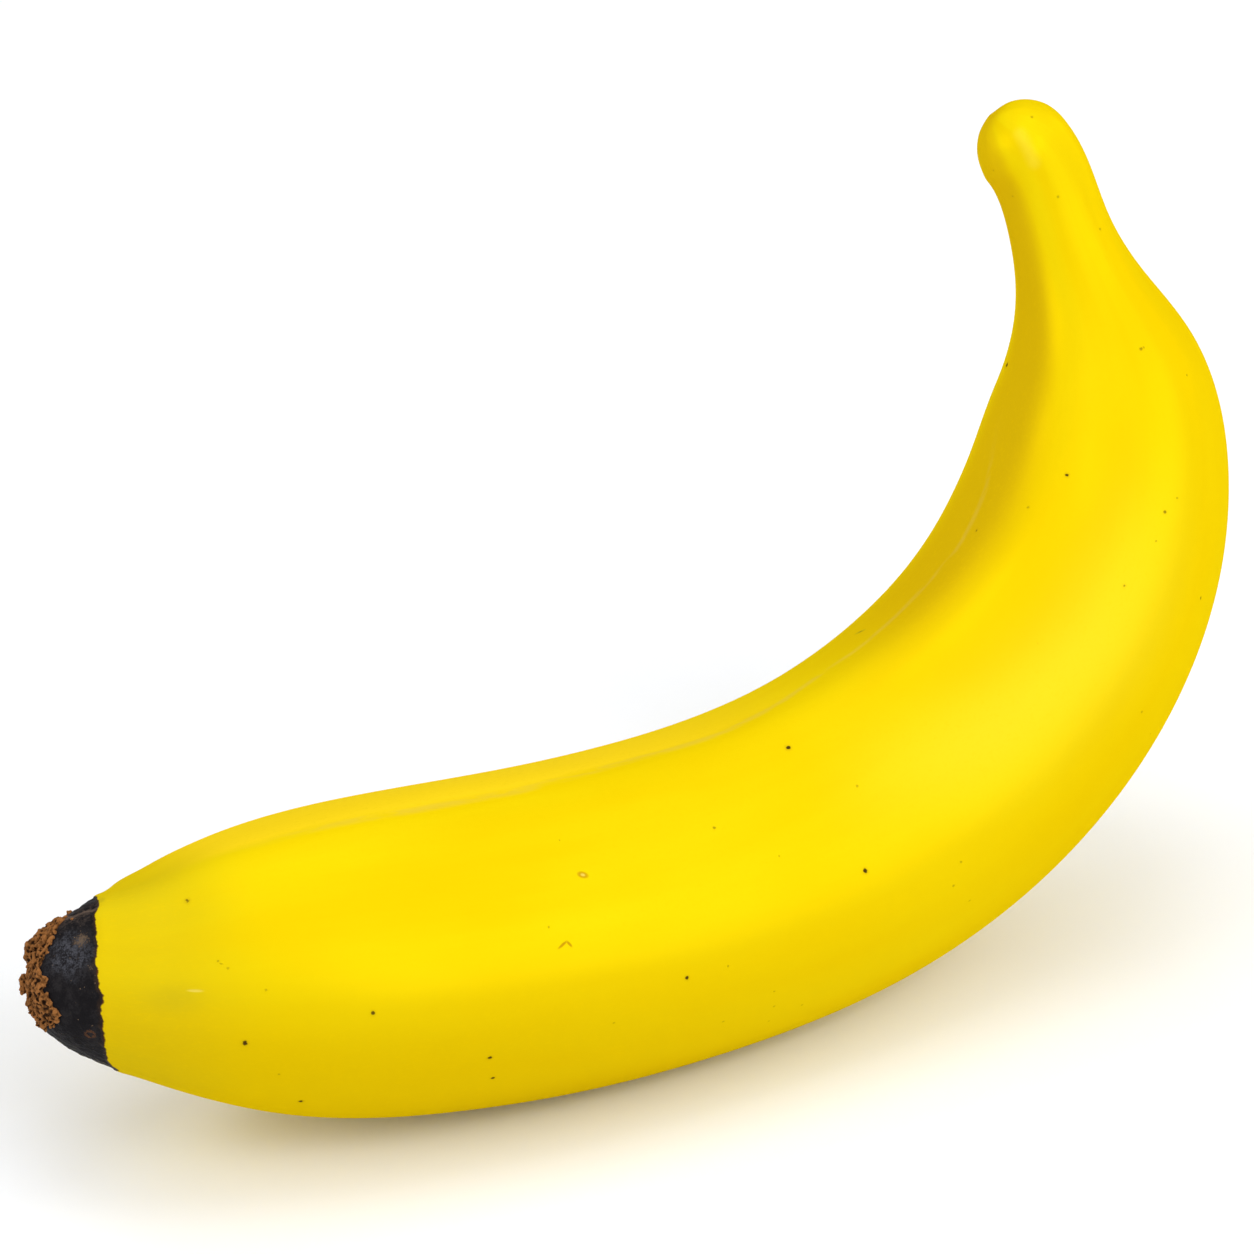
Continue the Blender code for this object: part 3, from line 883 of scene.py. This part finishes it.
def add_crumb(x, y, z, long, wide, thick, turn):
    """One crumb as a lumpy ball, in millimetres, with z away from the fruit."""
    place = Matrix.Translation((x, y, z)) @ turn.to_4x4() @ Matrix.Diagonal((long, wide, thick, 1.0))
    made = bmesh.ops.create_icosphere(clump, subdivisions=2, radius=1.0, matrix=place)
    for v in made["verts"]:
        v.co += 0.3 * thick * Vector(noise.noise_vector(v.co * 1.6))


for _ in range(CRUMBS):
    radius = (CRUST_RADIUS - CRUMB_INSET) * math.sqrt(crumb_draw.uniform(0.0, 1.0))
    turn = crumb_draw.uniform(0.0, 2 * math.pi)
    scale = 1.0 if radius < SMALL_FROM else SMALL_SCALE
    long = crumb_draw.uniform(0.35, 0.95) * scale
    wide = long * crumb_draw.uniform(0.35, 0.8)
    thickness = crumb_draw.uniform(0.22, 0.5) * scale
    spin = tumbled("Y")
    z = dome(radius) - 0.12 + crumb_draw.uniform(-0.25, 0.2)
    add_crumb(radius * math.cos(turn), radius * math.sin(turn), z, long, wide, thickness, spin)
for x, y in CRUST_EDGE:
    for _ in range(EDGE_CRUMBS):
        stray_x, stray_y = crumb_draw.normal(0.0, EDGE_STRAY, 2).tolist()
        on_edge = crust_place(seen(x + stray_x, y + stray_y)[0])
        long = crumb_draw.uniform(0.3, 0.62)
        spin = tumbled("X")
        wide = long * crumb_draw.uniform(0.35, 0.6)
        add_crumb(*on_edge, long, wide, crumb_draw.uniform(0.22, 0.34), spin)
eye_mm = np.array(eye) / MM
crust_middle = tip_centre + 2.0 * crust_axes[2]
for x, y, long, wide, thickness, turn in CLUMPS:
    line = np.array(sight(x, y))
    in_line = eye_mm + ((crust_middle - eye_mm) @ line) * line
    add_crumb(*crust_place(in_line), long, wide, thickness, Matrix.Rotation(turn, 3, "Z"))

# The crumbs are fused into one skin, which is then roughened and pitted.
VOXEL = 0.13
ROUGHNESS = 0.16
PIT_DEPTH = 0.4
SMOOTHINGS = 10

crust_mesh = bpy.data.meshes.new("dried_flower_crust")
clump.to_mesh(crust_mesh)
clump.free()
crust = bpy.data.objects.new("dried_flower_crust", crust_mesh)
bpy.context.scene.collection.objects.link(crust)
remesh = crust.modifiers.new("remesh", "REMESH")
remesh.mode = "VOXEL"
remesh.voxel_size = VOXEL
bpy.context.view_layer.update()
evaluated = crust.evaluated_get(bpy.context.evaluated_depsgraph_get())
fused = bpy.data.meshes.new_from_object(evaluated)
crust.modifiers.clear()
crust.data = fused


def read_points(field):
    """A vector for each point of the fused crust."""
    values = np.zeros(len(fused.vertices) * 3, np.float32)
    fused.vertices.foreach_get(field, values)
    return values.reshape(-1, 3)


skin_points = read_points("co").astype(float)
skin_normals = read_points("normal")
rough = np.array([noise.fractal(Vector(p) * 1.5, 0.8, 2.0, 4) for p in skin_points])
pits = np.array([noise.noise(Vector(p) * 2.8) for p in skin_points])
raised = ROUGHNESS * rough - PIT_DEPTH * np.clip(pits - 0.12, 0.0, 1.0)
skin_points = skin_points + raised[:, None] * skin_normals

# How far each point lies below its smoothed surroundings, where the finish paints shade into the hollows
# and a highlight onto the raised parts.
ends = np.zeros(len(fused.edges) * 2, np.int32)
fused.edges.foreach_get("vertices", ends)
first, second = ends[::2], ends[1::2]
neighbours = np.bincount(ends, minlength=len(skin_points))[:, None]


def next_to(values):
    """Sum of a value over the neighbours of each point."""
    forth = np.bincount(first, values[second], len(skin_points))
    return forth + np.bincount(second, values[first], len(skin_points))


even = skin_points.copy()
for _ in range(SMOOTHINGS):
    even = np.stack([next_to(even[:, k]) for k in range(3)], axis=1) / np.maximum(neighbours, 1)
hollow_shade_depth = ((even - skin_points) * skin_normals).sum(axis=1)
placed = tip_centre + skin_points @ crust_axes
fused.vertices.foreach_set("co", (placed * MM).astype(np.float32).ravel())
fused.polygons.foreach_set("use_smooth", [True] * len(fused.polygons))
fused.update()
body = bmesh.new()
body.from_mesh(fused)
bmesh.ops.recalc_face_normals(body, faces=body.faces)
body.to_mesh(fused)
body.free()
mark(crust, "pit", hollow_shade_depth)
mark(crust, "crumb_place", skin_points)

CORK_PALE_AND_HIGHLIGHT = (0.31, 0.125, 0.036)
CORK_MEAN = (0.125, 0.05, 0.014)
CORK_HOLLOW_SHADE = (0.016, 0.007, 0.004)

cork = Finish("corky_crust")
crumb_place = cork.attribute("crumb_place", "Vector")
coarse = cork.clouds(crumb_place, 0.9, 4.0, 0.6)
fine = cork.clouds(crumb_place, 4.0, 4.0, 0.65)
low = cork.attribute("pit")
# Painted shade darkens the hollows between the crumbs, and raised parts are painted paler as a highlight,
# over a random cork tone.
shade = cork.mix(CORK_MEAN, CORK_PALE_AND_HIGHLIGHT, (coarse * 0.6 + fine * 0.4 - low * 1.3).rise(0.46, 0.66))
shade = cork.mix(shade, CORK_HOLLOW_SHADE, (low + (fine - 0.5) * 0.12).rise(-0.02, 0.08) * 0.92)
cork.set(Base_Color=shade, Roughness=0.8 + (fine - 0.5) * 0.2, Normal=cork.bump(fine * 0.12))
cork.shader.inputs["Specular IOR Level"].default_value = 0.05
crust.data.materials.append(cork.material)
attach(crust, "root")
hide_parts("dried_flower_end")

# Studio
# A white floor under soft light: one sheet overhead, panels in front, behind and at both sides, and
# a dim white room all round.
FLOOR_SIZE = 4.0
FLOOR_WHITE = (0.92, 0.94, 0.98)
ROOM_WHITE = (1.0, 1.0, 1.0, 1.0)
ROOM_STRENGTH = 0.18
SOFT_PANELS = (  # name, place, place lit, width, height, watts
    ("overhead_sheet", (0.0, 0.0, 1.4), (0.0, 0.0, 0.0), 0.7, 0.7, 4.3),
    ("top_front_panel", (0.1, -0.7, 1.3), (0.0, 0.0, 0.0), 1.2, 1.0, 5.6),
    ("front_panel", (0.45, -1.3, 0.9), (0.0, 0.0, 0.04), 1.2, 1.0, 12.2),
    ("left_panel", (-1.3, 0.1, 0.7), (0.0, 0.0, 0.04), 1.0, 1.0, 10.2),
    ("right_panel", (1.3, -0.2, 0.7), (0.0, 0.0, 0.04), 1.0, 1.0, 6.3),
    ("back_panel", (0.0, 1.0, 1.2), (0.0, 0.0, 0.0), 1.2, 1.0, 4.7),
)

floor_mesh = bpy.data.meshes.new("studio_floor")
half = FLOOR_SIZE / 2
corners = [(-half, -half, 0.0), (half, -half, 0.0), (half, half, 0.0), (-half, half, 0.0)]
floor_mesh.from_pydata(corners, [], [(0, 1, 2, 3)])
floor = bpy.data.objects.new("studio_floor", floor_mesh)
bpy.context.scene.collection.objects.link(floor)
card = Finish("white_card")
card.set(Base_Color=FLOOR_WHITE, Roughness=0.9)
floor.data.materials.append(card.material)

for name, panel_place, lit_place, width, height, watts in SOFT_PANELS:
    lamp = bpy.data.lights.new(name, "AREA")
    lamp.shape = "RECTANGLE"
    lamp.size = width
    lamp.size_y = height
    lamp.energy = watts
    panel = bpy.data.objects.new(name, lamp)
    panel.location = panel_place
    facing_away = Vector(panel_place) - Vector(lit_place)
    panel.rotation_euler = facing_away.to_track_quat("Z", "Y").to_euler()
    bpy.context.scene.collection.objects.link(panel)

world = bpy.data.worlds.new("white_room")
world.use_nodes = True
backdrop = world.node_tree.nodes["Background"]
backdrop.inputs["Color"].default_value = ROOM_WHITE
backdrop.inputs["Strength"].default_value = ROOM_STRENGTH
bpy.context.scene.world = world
bpy.context.scene.view_settings.view_transform = "Standard"
